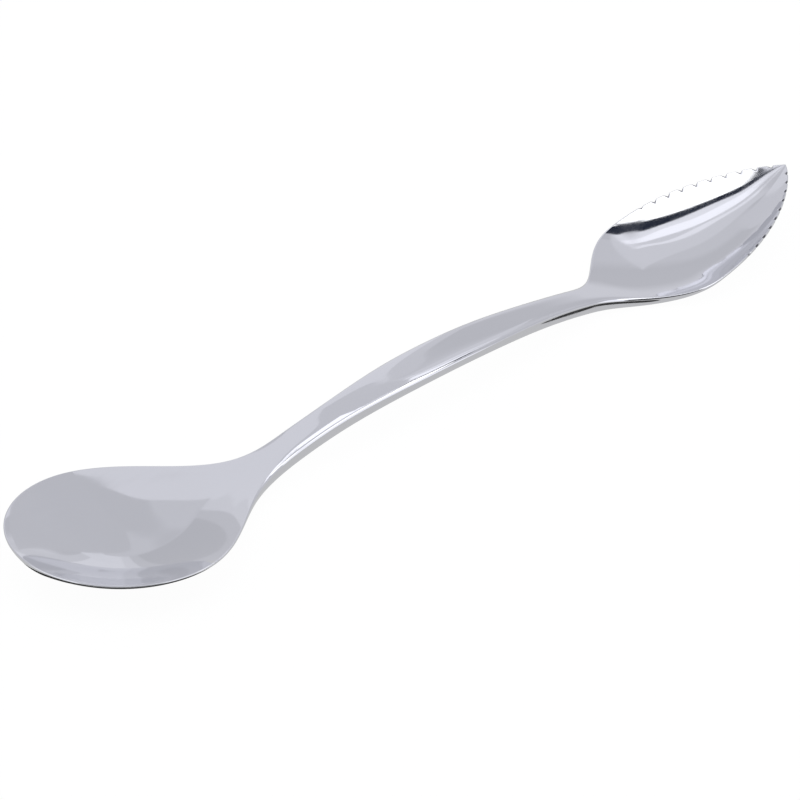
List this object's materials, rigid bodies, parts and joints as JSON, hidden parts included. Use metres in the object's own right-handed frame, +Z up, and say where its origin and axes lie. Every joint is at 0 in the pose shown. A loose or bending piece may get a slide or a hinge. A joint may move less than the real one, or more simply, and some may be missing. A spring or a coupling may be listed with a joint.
{
  "type": "double-ended fruit scoop",
  "caption": "Double-ended polished steel fruit scoop: a smooth egg-shaped scoop and a pointed scoop with serrated edges on an arched, waisted handle.",
  "frame": {"origin": "middle of the overall length and width, on the table under the tool", "axes": "+X from the smooth tip to the serrated tip, +Y across the tool, +Z up out of the scoops"},
  "size_m": [0.2, 0.0416, 0.01],
  "materials": {
    "polished_steel": "stainless steel polished to a mirror, with no visible grain"
  },
  "bodies": {
    "root": {"smooth_scoop": "polished_steel", "handle": "polished_steel", "serrated_scoop": "polished_steel"}
  },
  "joints": []
}
